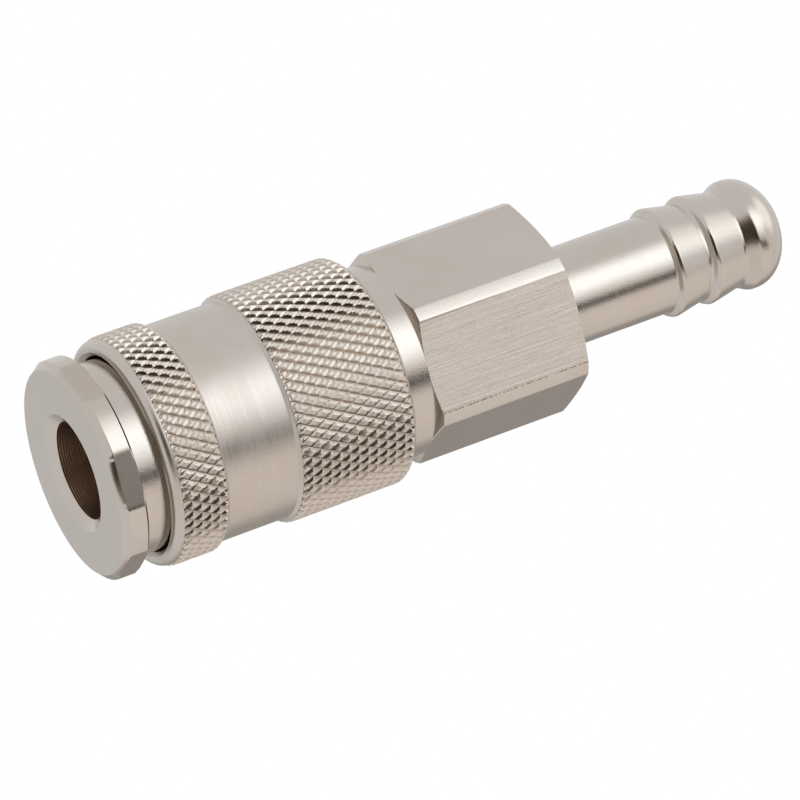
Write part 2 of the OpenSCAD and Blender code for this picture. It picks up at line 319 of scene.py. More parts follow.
def turned(name, outline, steps, flats=None):
    """A piece turned from a closed outline, with flats cut where the outline asks for them.

    flats is (width across, low, high, least radius), all in millimetres.
    """
    outline = np.array(outline, float)
    rings = len(outline)
    turns = np.arange(steps) * 2 * math.pi / steps
    radius = np.repeat(outline[:, :1], steps, 1)
    height = np.repeat(outline[:, 1:], steps, 1)
    flat_share = np.zeros_like(radius)
    if flats:
        across, low, high, least = flats
        sixth = math.pi / 3
        off = np.mod(turns, sixth) - sixth / 2
        flat_r = np.repeat((across / 2 / np.cos(off))[None, :], rings, 0)
        cut, share = soft_least(radius, flat_r, EDGE_SUPPORT)
        inside = (height > low) & (height < high) & (radius > least)
        radius = np.where(inside, cut, radius)
        flat_share = np.where(inside, 1 - share, 0)
    places = np.stack([radius * np.cos(turns), radius * np.sin(turns), height], -1).reshape(-1, 3)
    ring, step = np.meshgrid(np.arange(rings), np.arange(steps), indexing="ij")
    ring_next = (ring + 1) % rings
    step_next = (step + 1) % steps
    corners = [(ring, step), (ring, step_next), (ring_next, step_next), (ring_next, step)]
    faces = np.stack([a * steps + b for a, b in corners], -1).reshape(-1, 4)
    first, second, third, fourth = (places[faces[:, k]] for k in range(4))
    volume = np.einsum("ij,ij->i", first, np.cross(second, third)).sum()
    volume += np.einsum("ij,ij->i", first, np.cross(third, fourth)).sum()
    if volume < 0:
        faces = faces[:, ::-1]
    mesh = bpy.data.meshes.new(name)
    mesh.from_pydata((places * MM).tolist(), [], faces.tolist())
    drawn = mesh.attributes.new("drawn_flat", "FLOAT", "POINT")
    drawn.data.foreach_set("value", flat_share.reshape(-1).astype(np.float32))
    smooth_edges(mesh)
    return new_object(name, mesh)


def smooth_edges(mesh):
    """Shades a mesh smooth and keeps the edges sharp that turn by more than 38 degrees."""
    mesh.shade_smooth()
    mesh.set_sharp_from_angle(angle=math.radians(38))
    mesh.update()


def cross_hole(name, degrees, height, outline):
    """A closed cutter from (radius, distance) points, laid across the axis at a height."""
    bm = bmesh.new()
    steps = 48
    rings = []
    for radius, distance in outline:
        ring = []
        for k in range(steps):
            turn = 2 * math.pi * k / steps
            place = Vector((radius * math.cos(turn), radius * math.sin(turn), distance))
            ring.append(bm.verts.new(place * MM))
        rings.append(ring)
    for lower, upper in zip(rings, rings[1:]):
        for k in range(steps):
            bm.faces.new((lower[k], lower[(k + 1) % steps], upper[(k + 1) % steps], upper[k]))
    bm.faces.new(list(reversed(rings[0])))
    bm.faces.new(rings[-1])
    bmesh.ops.recalc_face_normals(bm, faces=bm.faces[:])
    mesh = bpy.data.meshes.new(name)
    bm.to_mesh(mesh)
    bm.free()
    spun = Matrix.Rotation(math.radians(degrees), 4, "Z")
    lifted = Matrix.Translation((0, 0, height * MM))
    mesh.transform(spun @ lifted @ Matrix.Rotation(math.radians(90), 4, "Y"))
    return new_object(name, mesh)


def drill(thing, cutters):
    """Cuts the cutter objects out of a piece and removes them."""
    before = len(thing.data.polygons)
    for cutter in cutters:
        boolean = thing.modifiers.new("hole", "BOOLEAN")
        boolean.operation = "DIFFERENCE"
        boolean.solver = "EXACT"
        boolean.object = cutter
    settle(thing)
    if len(thing.data.polygons) == before:
        raise RuntimeError(f"{thing.name} wasn't drilled")
    for cutter in cutters:
        mesh = cutter.data
        bpy.data.objects.remove(cutter)
        bpy.data.meshes.remove(mesh)
    smooth_edges(thing.data)


def place_piece(thing, body, node_name, slot_name):
    """Gives a finished piece its finish and its body, and hides the solid that it stands for."""
    thing.data.materials.clear()
    thing.data.materials.append(finish(slot_name))
    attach(thing, body)
    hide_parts(node_name)


def sign(operation, swapped=False):
    """A sign in a formula of node values, which adds the Math node that works it out."""
    def work(self, other):
        pair = (other, self) if swapped else (self, other)
        return self.nodes.calc(operation, *pair)
    return work


class Value:
    """What a node puts out, ready for use in formulas."""

    def __init__(self, nodes, socket):
        self.nodes = nodes
        self.socket = socket

    def __abs__(self):
        return self.nodes.calc("ABSOLUTE", self)

    __add__ = sign("ADD")
    __radd__ = sign("ADD", swapped=True)
    __sub__ = sign("SUBTRACT")
    __rsub__ = sign("SUBTRACT", swapped=True)
    __mul__ = sign("MULTIPLY")
    __truediv__ = sign("DIVIDE")
    __rtruediv__ = sign("DIVIDE", swapped=True)
    __mod__ = sign("MODULO")
    __lt__ = sign("LESS_THAN")
    __gt__ = sign("GREATER_THAN")


def four(colour):
    """A colour with its alpha."""
    return (colour[0], colour[1], colour[2], 1.0)


class Nodes:
    """A node tree in the making, with short calls for the nodes that its formulas need."""

    def __init__(self, tree):
        self.tree = tree
        self.given = {}

    def feed(self, value, socket):
        """Links a node's output to a socket, or sets the socket to a plain value."""
        if isinstance(value, Value):
            self.tree.links.new(value.socket, socket)
        else:
            socket.default_value = value

    def node(self, kind, inputs=None, **settings):
        """Adds a node, with its settings and its inputs."""
        made = self.tree.nodes.new(kind)
        for key, value in settings.items():
            setattr(made, key, value)
        for key, value in (inputs or {}).items():
            self.feed(value, made.inputs[key])
        return made

    def out(self, kind, inputs=None, output=0, **settings):
        """Adds a node and gives one of its outputs."""
        return Value(self, self.node(kind, inputs, **settings).outputs[output])

    def calc(self, operation, *given, clamp=False):
        """A Math node's result."""
        return self.out("ShaderNodeMath", dict(enumerate(given)), operation=operation, use_clamp=clamp)

    def least(self, first, second):
        """The lesser of two values."""
        return self.calc("MINIMUM", first, second)

    def most(self, first, second):
        """The greater of two values."""
        return self.calc("MAXIMUM", first, second)

    def stepped(self, value, low, high):
        """Rises smoothly from 0 at low to 1 at high."""
        given = {"Value": value, "From Min": low, "From Max": high, "To Min": 0.0, "To Max": 1.0}
        return self.out("ShaderNodeMapRange", given, "Result", interpolation_type="SMOOTHSTEP", clamp=True)

    def place(self):
        """A point's place on the coupling, in metres."""
        return self.out("ShaderNodeTexCoord", None, "Object")

    def xyz(self, x, y, z):
        """A vector of three values."""
        return self.out("ShaderNodeCombineXYZ", {"X": x, "Y": y, "Z": z})

    def parts(self, vector):
        """The three values of a vector."""
        made = self.node("ShaderNodeSeparateXYZ", {0: vector})
        return [Value(self, made.outputs[axis]) for axis in "XYZ"]

    def noise(self, place, scale, detail=2.0, roughness=0.5):
        """A noise value from 0 to 1."""
        given = {"Vector": place, "Scale": scale, "Detail": detail, "Roughness": roughness}
        return self.out("ShaderNodeTexNoise", given, noise_dimensions="3D")

    def mixed(self, share, first, second):
        """A value between two others."""
        given = {"Factor": share, "A": first, "B": second}
        return self.out("ShaderNodeMix", given, "Result", data_type="FLOAT")

    def tinted(self, share, first, second):
        """A colour between two others."""
        ends = [tone if isinstance(tone, Value) else four(tone) for tone in (first, second)]
        given = {"Factor": share, "A": ends[0], "B": ends[1]}
        return self.out("ShaderNodeMix", given, "Result", data_type="RGBA")

    def group(self, name, build, given):
        """Places a shader node group and gives its outputs by their names."""
        tree = kept_group(name, "ShaderNodeTree", build, given)
        made = self.node("ShaderNodeGroup", given, node_tree=tree)
        return {socket.name: Value(self, socket) for socket in made.outputs}

    def give(self, values, socket_type="NodeSocketFloat"):
        """Adds a group's own outputs and feeds them."""
        for name in values:
            self.tree.interface.new_socket(name, in_out="OUTPUT", socket_type=socket_type)
        ends = self.tree.nodes.new("NodeGroupOutput").inputs
        for name, value in values.items():
            self.feed(value, ends[name])

    def give_piece(self, geometry):
        """Ends a Geometry Nodes tree with a real mesh in its metal."""
        real = self.out("GeometryNodeRealizeInstances", {"Geometry": geometry})
        given = {"Geometry": real, "Material": self.given["Metal"]}
        self.give({"Piece": self.out("GeometryNodeSetMaterial", given)}, "NodeSocketGeometry")


SOCKETS = {
    float: "NodeSocketFloat",
    int: "NodeSocketInt",
    tuple: "NodeSocketColor",
    bpy.types.Material: "NodeSocketMaterial",
    type(None): "NodeSocketGeometry",
}


def kept_group(name, kind, build, given):
    """A node group by its name, built the first time with an input for each given value."""
    tree = bpy.data.node_groups.get(name)
    if tree:
        return tree
    tree = bpy.data.node_groups.new(name, kind)
    for label, value in given.items():
        socket = tree.interface.new_socket(label, in_out="INPUT", socket_type=SOCKETS[type(value)])
        if value is not None:
            socket.default_value = value
    nodes = Nodes(tree)
    ends = tree.nodes.new("NodeGroupInput").outputs
    nodes.given = {end.name: Value(nodes, end) for end in ends if end.name}
    build(nodes)
    return tree


def knurl_tree(nodes):
    """Geometry Nodes: adds a ring of crossed diamond knurling to the turned sleeve."""
    given = nodes.given
    calc = nodes.calc
    low = given["Low End"]
    high = given["High End"]
    around = given["Diamonds Round"]
    crest_r = given["Crest Radius"]

    # One diamond on a sheet from -1 to 1 each way: the crest ends at the knee, the valley is past the rim
    knee_x = 0.75
    knee_y = 2 / 3
    rim = 0.9
    flat_strip = 0.3
    flatter_above = 0.7
    grid = {"Size X": 2.0, "Size Y": 2.0, "Vertices X": 9, "Vertices Y": 7}
    sheet = nodes.out("GeometryNodeMeshGrid", grid)
    x, y, _ = nodes.parts(nodes.out("GeometryNodeInputPosition"))
    halved = {"Mesh": sheet, "Selection": x * y > 0.0}
    leaning = nodes.out("GeometryNodeTriangulate", halved, quad_method="FIXED")
    split = nodes.out("GeometryNodeTriangulate", {"Mesh": leaning}, quad_method="FIXED_ALTERNATE")
    across = abs(x)
    along = abs(y)
    inside_x = across < rim
    inside_y = along < rim

    # Fine rolled ridges run beside a flat strip, and the upper flank is flatter than the others
    ridged = abs(calc("COSINE", x * (2 * math.pi)))
    top = 1.0 - ridged * (across > flat_strip) * given["Ridge Share"] * inside_x
    flank = given["Flank Share"] * 2.0
    crest_x = 1.0 - flank
    spread = (y > 0.0) * flatter_above + 1.0
    crest_y = 1.0 - flank * spread * top
    on_crest = nodes.least(across, knee_x) / knee_x * crest_x
    on_flank = nodes.most(across - knee_x, 0.0) / (1 - knee_x) * flank
    u = calc("SIGN", x) * (on_crest + on_flank)
    on_crest = nodes.least(along, knee_y) * (1 / knee_y) * crest_y
    on_flank = nodes.most(along - knee_y, 0.0) * (1 / (1 - knee_y)) * (1.0 - crest_y)
    v = calc("SIGN", y) * (on_crest + on_flank)
    half_turn = math.pi / around
    row = (high - low) / given["Half Rows"]
    flat_place = nodes.xyz((u - v) * 0.5 * half_turn, (u + v) * 0.5 * row, top * inside_x * inside_y)
    share = nodes.xyz(across > rim, along > rim, inside_x * inside_y)
    marks = {"Geometry": split, "Name": "knurl_share", "Value": share}
    marked = nodes.out("GeometryNodeStoreNamedAttribute", marks, data_type="FLOAT_VECTOR", domain="POINT")
    diamond = nodes.out("GeometryNodeSetPosition", {"Geometry": marked, "Position": flat_place})

    # The diamonds' centres, unrolled: every second row is set off by half a diamond
    number = nodes.out("GeometryNodeInputIndex")
    count = around * (given["Half Rows"] + 1.0)
    row_number = calc("FLOOR", (number + 0.5) / around)
    turn = (number % around + row_number % 2.0 * 0.5) * (half_turn * 2.0)
    centre = nodes.xyz(turn, low + row_number * row, 0.0)
    centres = nodes.out("GeometryNodePoints", {"Count": count, "Position": centre})
    repeated = nodes.out("GeometryNodeInstanceOnPoints", {"Points": centres, "Instance": diamond})
    unrolled = nodes.out("GeometryNodeRealizeInstances", {"Geometry": repeated})

    # Rolled round the sleeve: the ends are cut square and eased, and run down inside the turned body
    past_end = 0.00001
    end_slope = 1.5
    weld = 0.000002
    rolled_grain = 3600.0
    x, y, z = nodes.parts(nodes.out("GeometryNodeInputPosition"))
    kept = nodes.least(nodes.most(y, low - past_end), high + past_end)
    beyond = abs(y - kept)
    to_end = nodes.most(nodes.least(kept - low, high - kept), 0.0)
    eased = calc("DIVIDE", to_end, given["End Chamfer"], clamp=True)
    ceiling = given["End Radius"] + (crest_r - given["End Radius"]) * eased
    uneven = nodes.noise(nodes.xyz(x * crest_r, y, 0.0), rolled_grain, 1.0) - 0.5
    rise = z * (1.0 + uneven * given["Unevenness"])
    valley = crest_r - given["Groove Depth"]
    surface = nodes.least(valley + rise * given["Groove Depth"], ceiling)
    radius = nodes.most(surface - beyond * end_slope, given["Hidden Radius"])
    rolled_place = nodes.xyz(radius * calc("COSINE", x), radius * calc("SINE", x), kept)
    rolled = nodes.out("GeometryNodeSetPosition", {"Geometry": unrolled, "Position": rolled_place})
    welded = nodes.out("GeometryNodeMergeByDistance", {"Geometry": rolled, "Distance": weld})
    faceted = nodes.out("GeometryNodeSetShadeSmooth", {"Geometry": welded, "Shade Smooth": False})
    joined = nodes.node("GeometryNodeJoinGeometry")
    nodes.feed(faceted, joined.inputs[0])
    nodes.feed(given["Turned Sleeve"], joined.inputs[0])
    nodes.give_piece(Value(nodes, joined.outputs[0]))


def coil_tree(nodes):
    """Geometry Nodes: a coil spring with closed end coils, as a wire swept along its path."""
    mean_r, wire, coils, low, high = list(nodes.given.values())[:5]
    calc = nodes.calc
    per_turn = 40.0
    closed_turns = 0.9
    closed_pitch = 0.95
    steps = calc("ROUND", coils * per_turn)
    line = nodes.out("GeometryNodeMeshLine", {"Count": steps + 1.0})
    turns = coils * (nodes.out("GeometryNodeInputIndex") / steps)
    closed_rise = wire * closed_pitch
    open_rise = high - low - wire - closed_rise * 2.0
    first = calc("DIVIDE", turns, closed_turns, clamp=True)
    middle = calc("DIVIDE", turns - closed_turns, coils - 2 * closed_turns, clamp=True)
    last = calc("DIVIDE", turns - (coils - closed_turns), closed_turns, clamp=True)
    rise = first * closed_rise + middle * open_rise + last * closed_rise
    wire_r = wire * 0.5
    angle = turns * (2 * math.pi)
    place = nodes.xyz(mean_r * calc("COSINE", angle), mean_r * calc("SINE", angle), low + wire_r + rise)
    path = nodes.out("GeometryNodeSetPosition", {"Geometry": line, "Position": place})
    curve = nodes.out("GeometryNodeMeshToCurve", {"Mesh": path})
    section = nodes.out("GeometryNodeCurvePrimitiveCircle", {"Resolution": 16, "Radius": wire_r})
    wound = {"Curve": curve, "Profile Curve": section, "Fill Caps": True}
    swept = nodes.out("GeometryNodeCurveToMesh", wound)
    nodes.give_piece(nodes.out("GeometryNodeSetShadeSmooth", {"Geometry": swept, "Shade Smooth": True}))


def ball_tree(nodes):
    """Geometry Nodes: one locking ball of the ring, by its turn round the axis."""
    ball_r, distance, height, turn = list(nodes.given.values())[:4]
    sphere = nodes.out("GeometryNodeMeshUVSphere", {"Segments": 48, "Rings": 24, "Radius": ball_r})
    place = nodes.xyz(distance * nodes.calc("COSINE", turn), distance * nodes.calc("SINE", turn), height)
    moved = nodes.out("GeometryNodeSetPosition", {"Geometry": sphere, "Offset": place})
    nodes.give_piece(nodes.out("GeometryNodeSetShadeSmooth", {"Geometry": moved, "Shade Smooth": True}))


def grown(thing, name, build, values):
    """Adds a Geometry Nodes modifier to an object, with its inputs set by their identifiers."""
    tree = kept_group(name, "GeometryNodeTree", build, values)
    modifier = thing.modifiers.new(name, "NODES")
    modifier.node_group = tree
    for item in tree.interface.items_tree:
        if item.in_out == "INPUT" and values[item.name] is not None:
            modifier[item.identifier] = values[item.name]


def axis_group(nodes):
    """Radius, height and turn round the coupling's axis, in millimetres and radians."""
    x, y, z = nodes.parts(nodes.place())
    squares = nodes.calc("POWER", x, 2.0) + nodes.calc("POWER", y, 2.0)
    radius = nodes.calc("SQRT", squares) * PER_METRE
    nodes.give({"Radius": radius, "Height": z * PER_METRE, "Turn": nodes.calc("ARCTAN2", y, x)})


def turning_group(nodes):
    """Fine rings that a lathe tool leaves, along the radius and the height alike."""
    axis = nodes.group("Place On Axis", axis_group, {})
    waver = nodes.noise(nodes.place(), 260.0, 1.0) * nodes.given["Waver"]
    per_mm = 1.0 / nodes.given["Ring Spacing"]
    along = (axis["Height"] + waver) * per_mm
    across = (axis["Radius"] + waver) * per_mm
    place = nodes.xyz(along, across, axis["Turn"] * 0.35)
    height = nodes.noise(place, 1.0, 3.0, 0.65) * 0.7 + nodes.noise(place, 0.18) * 0.3
    nodes.give({"Height": height, "Streak": nodes.stepped(height, 0.36, 0.64)})


def drawn_group(nodes):
    """Lengthwise lines that the drawing die leaves on the flats of a bar."""
    x, y, z = nodes.parts(nodes.place())
    width = PER_METRE / nodes.given["Line Width"]
    place = nodes.xyz(x * width, y * width, z * (PER_METRE / nodes.given["Line Length"]))
    height = nodes.noise(place, 1.0, 3.0, 0.6) * 0.65 + nodes.noise(place, 0.3) * 0.35
    flecks = nodes.stepped(nodes.noise(place, 2.6, 1.0), 0.60, 0.72)
    nodes.give({"Height": height, "Streak": nodes.stepped(height, 0.38, 0.62), "Fleck": flecks})


def grain_group(nodes):
    """Fine even grain of satin plating."""
    value = nodes.noise(nodes.place(), PER_METRE / nodes.given["Grain Size"], 3.0, 0.6)
    nodes.give({"Height": value, "Speckle": nodes.stepped(value, 0.35, 0.68)})


def tone_group(nodes):
    """Slow drifts of a surface between its own colour and a warmer one."""
    own, warm, patch_size, amount = nodes.given.values()
    patch = nodes.stepped(nodes.noise(nodes.place(), PER_METRE / patch_size, 3.0, 0.55), 0.35, 0.7)
    nodes.give({"Colour": nodes.tinted(patch * amount, own, warm)}, "NodeSocketColor")


def knurl_group(nodes):
    """Where the knurls are, and the fine steps that the rolling leaves on them."""
    axis = nodes.group("Place On Axis", axis_group, {})
    height = axis["Height"]
    turn = axis["Turn"]
    soft = 0.05

    def along(low, high):
        return nodes.stepped(height, low, low + soft) * nodes.stepped(height, high, high - soft)

    both = along(FRONT_KNURL_LOW, FRONT_KNURL_HIGH) + along(REAR_KNURL_LOW, REAR_KNURL_HIGH)
    inside = both * nodes.stepped(axis["Radius"], 11.0, 11.2)
    slant = height * 0.5 + turn * nodes.given["Crest Radius"] * 0.866
    place = nodes.xyz(slant * 7.0, height * 1.2, turn * 8.0)
    nodes.give({"Inside Knurl": inside, "Steps": nodes.noise(place, 1.0, 2.0, 0.6)})


def plating(nodes, own, warm, patch_size, amount):
    """A surface's drifting colour."""
    given = {"Own Colour": four(own), "Warm Colour": four(warm), "Patch Size": patch_size, "Amount": amount}
    return nodes.group("Plating Tone", tone_group, given)["Colour"]


def turned_rings(nodes, spacing, waver):
    """The lathe's rings at a spacing in millimetres."""
    return nodes.group("Turning Marks", turning_group, {"Ring Spacing": spacing, "Waver": waver})


def satin(nodes, size):
    """Satin grain of a size in millimetres."""
    return nodes.group("Satin Grain", grain_group, {"Grain Size": size})


def body_nickel(nodes, colours):
    """Bright nickel over turned brass, with drawn lines on one flat, painted lighter for the light it
    catches, and fine rings in the bore.
    """
    axis = nodes.group("Place On Axis", axis_group, {})
    height = axis["Height"]
    tone = plating(nodes, colours.nickel, colours.nickel_warm, 7.0, 0.5)
    rings = turned_rings(nodes, 0.11, 0.05)
    lines = nodes.group("Drawn Lines", drawn_group, {"Line Width": 0.13, "Line Length": 7.0})
    grain = satin(nodes, 0.17)
    drawn = nodes.out("ShaderNodeAttribute", None, "Fac", attribute_name="drawn_flat")
    on_hexagon = nodes.stepped(height, HEX_FRONT - 0.05, HEX_FRONT + 0.05)
    on_flange = nodes.stepped(height, FLANGE_TOP + 0.1, FLANGE_TOP)

    # The brushed flat reaches from 0 to 60 degrees round the axis
    off_middle = abs(axis["Turn"] - math.radians(30))
    brushed_side = nodes.stepped(off_middle, math.radians(31), math.radians(29))
    flat = drawn * on_hexagon * brushed_side
    streak = nodes.mixed(flat, rings["Streak"], lines["Streak"])
    dulled = nodes.tinted(streak * 0.12, tone, colours.nickel_warm)
    # Painted highlight: the brushed flat is painted lighter, standing in for the light that it catches
    brushed = nodes.tinted(flat, dulled, colours.brushed_and_lit_tone)
    line_shade = lines["Fleck"] * 0.22 + lines["Streak"] * 0.08 + grain["Speckle"] * 0.14

    # A ragged dark line follows the brushed flat's edge, below its top corner
    edge_band = nodes.stepped(drawn, 0.3, 0.4) * nodes.stepped(drawn, 0.8, 0.7)
    below_top = nodes.stepped(axis["Turn"], math.radians(8), math.radians(12))
    ragged = nodes.stepped(nodes.noise(nodes.place(), 2600.0), 0.42, 0.54)
    dark_edge_line = edge_band * below_top * ragged * brushed_side * on_hexagon
    flecked = nodes.tinted(nodes.most(line_shade * flat, dark_edge_line * 0.95), brushed, colours.edge_tone)
    # The flange's milled flats go a quarter of the way to the dark tone
    milled = nodes.tinted(drawn * on_flange * 0.25, flecked, colours.dark_tone)

    # Inside the bore, from the mouth's chamfer to the plug's ledge, the tool has left even rings
    ring_pitch = 0.27
    ring_height = 0.0076
    bore_rough = 0.3
    in_bore = nodes.stepped(axis["Radius"], RELIEF_R + 0.12, RELIEF_R + 0.06)
    in_bore = in_bore * nodes.stepped(height, MOUTH_END - 0.1, MOUTH_END + 0.05)
    in_bore = in_bore * nodes.stepped(height, PLUG_STOP + 0.2, PLUG_STOP)
    wave = nodes.calc("SINE", height * (2 * math.pi / ring_pitch))
    bore = nodes.tinted((wave * 0.5 + 0.5) * 0.3, colours.bore_tone, colours.edge_tone)
    colour = nodes.tinted(in_bore, milled, bore)
    outer_rough = nodes.mixed(flat, rings["Streak"] * 0.06 + 0.14, lines["Streak"] * 0.1 + 0.46)
    rough = nodes.mixed(in_bore, outer_rough, bore_rough)
    ringed = nodes.mixed(in_bore, rings["Height"] * 0.0012, wave * ring_height)
    marks = nodes.mixed(flat, ringed, lines["Height"] * 0.06)
    return colour, rough, marks + grain["Height"] * nodes.mixed(drawn, 0.013, 0.004)


def sleeve_nickel(nodes, colours):
    """Satin nickel: in the knurl, polished crests with a painted highlight, painted highlights along the
    steeper grooves and painted shade with some stain in the others; finely turned on the band.
    """
    tone = plating(nodes, colours.nickel, colours.nickel_warm, 4.0, 0.7)
    rings = turned_rings(nodes, 0.14, 0.05)
    grain = satin(nodes, 0.15)
    knurls = nodes.group("Knurl Grooves", knurl_group, {"Crest Radius": 12.0})
    knurled = knurls["Inside Knurl"]
    shares = nodes.out("ShaderNodeAttribute", None, "Vector", attribute_name="knurl_share")
    steep, slanted, top = nodes.parts(shares)
    # Painted highlight: the knurl's crests are lighter from their polish and from painted light; their wear
    # also makes them rougher
    wear_and_sheen = nodes.stepped(top, 0.8, 1.0) * knurled
    # Painted highlight along the knurl's steeper grooves
    lit = nodes.stepped(steep, 0.1, 0.6) * knurled
    valley = nodes.stepped(slanted, 0.1, 0.9) * knurled
    warmed = nodes.tinted(knurled * 0.5, tone, colours.nickel_warm)
    crested = nodes.tinted(wear_and_sheen * 0.55, warmed, colours.crest)
    lighter = nodes.tinted(lit * 0.8, crested, colours.groove_highlight)
    # Painted shade, with some stain, darkens the knurl's other grooves
    shade_and_stain = nodes.tinted(valley * 0.6, lighter, colours.dark_tone)
    rough = nodes.mixed(knurled, rings["Streak"] * 0.08 + 0.26, wear_and_sheen * 0.2 + 0.14)
    height = nodes.mixed(knurled, rings["Height"] * 0.0007, knurls["Steps"] * 0.022)
    return shade_and_stain, rough, height + grain["Height"] * 0.012


def wire_steel(nodes, colours):
    """Drawn spring wire with faint lines and a thin oil film's change of tone."""
    grain = satin(nodes, 0.12)
    tone = plating(nodes, colours.spring_steel, (0.30, 0.28, 0.26), 1.6, 0.6)
    return tone, grain["Speckle"] * 0.12 + 0.24, grain["Height"] * 0.004


def polished_steel(nodes, colours):
    """Hardened, polished steel of the balls, with the faintest grinding grain."""
    grain = satin(nodes, 0.2)
    tone = plating(nodes, colours.ball_steel, (0.50, 0.49, 0.47), 1.2, 0.4)
    return tone, grain["Speckle"] * 0.05 + 0.09, grain["Height"] * 0.0008


def valve_brass(nodes, colours):
    """Bare turned brass of the valve."""
    rings = turned_rings(nodes, 0.13, 0.04)
    tone = plating(nodes, colours.brass, (0.50, 0.32, 0.12), 2.5, 0.6)
    return tone, rings["Streak"] * 0.12 + 0.2, rings["Height"] * 0.004


def seal_rubber(nodes, colours):
    """Black moulded rubber of the seals, lightly greased."""
    grain = satin(nodes, 0.16)
    tone = plating(nodes, colours.rubber, (0.035, 0.033, 0.032), 1.5, 0.8)
    return tone, grain["Speckle"] * 0.2 + 0.42, grain["Height"] * 0.01


FINISHES = {
    "nickel_body": ("Bright Nickel", body_nickel, 1.0),
    "nickel_sleeve": ("Satin Nickel", sleeve_nickel, 1.0),
    "spring_steel": ("Spring Wire", wire_steel, 1.0),
    "ball_steel": ("Ball Steel", polished_steel, 1.0),
    "valve_brass": ("Turned Brass", valve_brass, 1.0),
    "seal_rubber": ("Seal Rubber", seal_rubber, 0.0),
}


def finish(slot_name):
    """A slot's material, painted the first time that a piece asks for it.

    Its paint gives the colour, the roughness and the height in millimetres.
    """
    name, paint, metallic = FINISHES[slot_name]
    made = bpy.data.materials.get(name)
    if made:
        return made
    made = bpy.data.materials.new(name)
    made.use_nodes = True
    shader = made.node_tree.nodes["Principled BSDF"]
    nodes = Nodes(made.node_tree)
    colour, rough, height = paint(nodes, bpy.context.scene.coupling_colours)
    raised = {"Height": height, "Distance": MM, "Strength": 1.0}
    normal = nodes.out("ShaderNodeBump", raised, "Normal")
    given = {"Base Color": colour, "Roughness": rough, "Normal": normal, "Metallic": metallic}
    for key, value in given.items():
        nodes.feed(value, shader.inputs[key])
    return made


def front_body_outline():
    """Outline of the flange, neck, ball cage and thread, with the stepped socket inside."""
    edge = 0.25
    groove_low = SEAL_HEIGHT - SEAL_GROOVE_HALF
    groove_high = SEAL_HEIGHT + SEAL_GROOVE_HALF
    return rounded([
        (MOUTH_R, 0.0, 0.05), (FACE_R, 0.0, 0.08), (FLANGE_R, FLANGE_R - FACE_R, 0.08),
        (FLANGE_R, FLANGE_TOP - edge), (FLANGE_R - edge, FLANGE_TOP, 0.05), (NECK_R, FLANGE_TOP, 0.06),
        (NECK_R, STOP_SHOULDER), (CAGE_R, STOP_SHOULDER), (CAGE_R, NECK_OF_THREAD),
        (THREAD_R, NECK_OF_THREAD), (THREAD_R, FRONT_BODY_END), (CHAMBER_R, FRONT_BODY_END),
        (CHAMBER_R, SEAT), (SEAT_R, SEAT), (SEAT_R, PLUG_STOP), (RELIEF_R, PLUG_STOP),
        (RELIEF_R, groove_high), (SEAL_GROOVE_R, groove_high), (SEAL_GROOVE_R, groove_low),
        (RELIEF_R, groove_low), (RELIEF_R, UNDERCUT_END, 0.03), (UNDERCUT_R, UNDERCUT_END, 0.03),
        (UNDERCUT_R, GUIDE_END, 0.03), (BORE_R, GUIDE_END, 0.03), (BORE_R, MOUTH_END, 0.04),
    ])


def sleeve_outline():
    """Outline of the sleeve under its knurls, with the taper over the balls inside."""
    nose_r = 0.9
    lip = 0.45
    nose = arc_points((RING_R - nose_r, SLEEVE_FRONT + nose_r), nose_r, nose_r, -80, -4, 10)
    return rounded([
        (SLEEVE_BORE_R + lip, SLEEVE_FRONT, 0.05), *[(r, z, 0) for r, z in nose],
        (RING_R, FRONT_KNURL_LOW, 0.03), (CORE_R, FRONT_KNURL_LOW, 0), (CORE_R, FRONT_KNURL_HIGH, 0),
        (RING_R, FRONT_KNURL_HIGH, 0.03), (BAND_R, BAND_LOW, 0.06), (BAND_R, BAND_HIGH, 0.06),
        (RING_R, REAR_KNURL_LOW, 0.03), (CORE_R, REAR_KNURL_LOW, 0), (CORE_R, REAR_KNURL_HIGH, 0),
        (RING_R, REAR_KNURL_HIGH, 0.03), (RING_R - KNURL_CHAMFER, SLEEVE_REAR, 0.05),
        (SLEEVE_BORE_R, SLEEVE_REAR, 0.06), (SLEEVE_BORE_R, LAND_END), (LAND_R, LAND_END),
        (LAND_R, TAPER_END), (TAPER_FRONT_R, SLEEVE_STOP), (SLEEVE_BORE_R, SLEEVE_STOP),
        (SLEEVE_BORE_R, SLEEVE_FRONT + lip, 0.05),
    ])


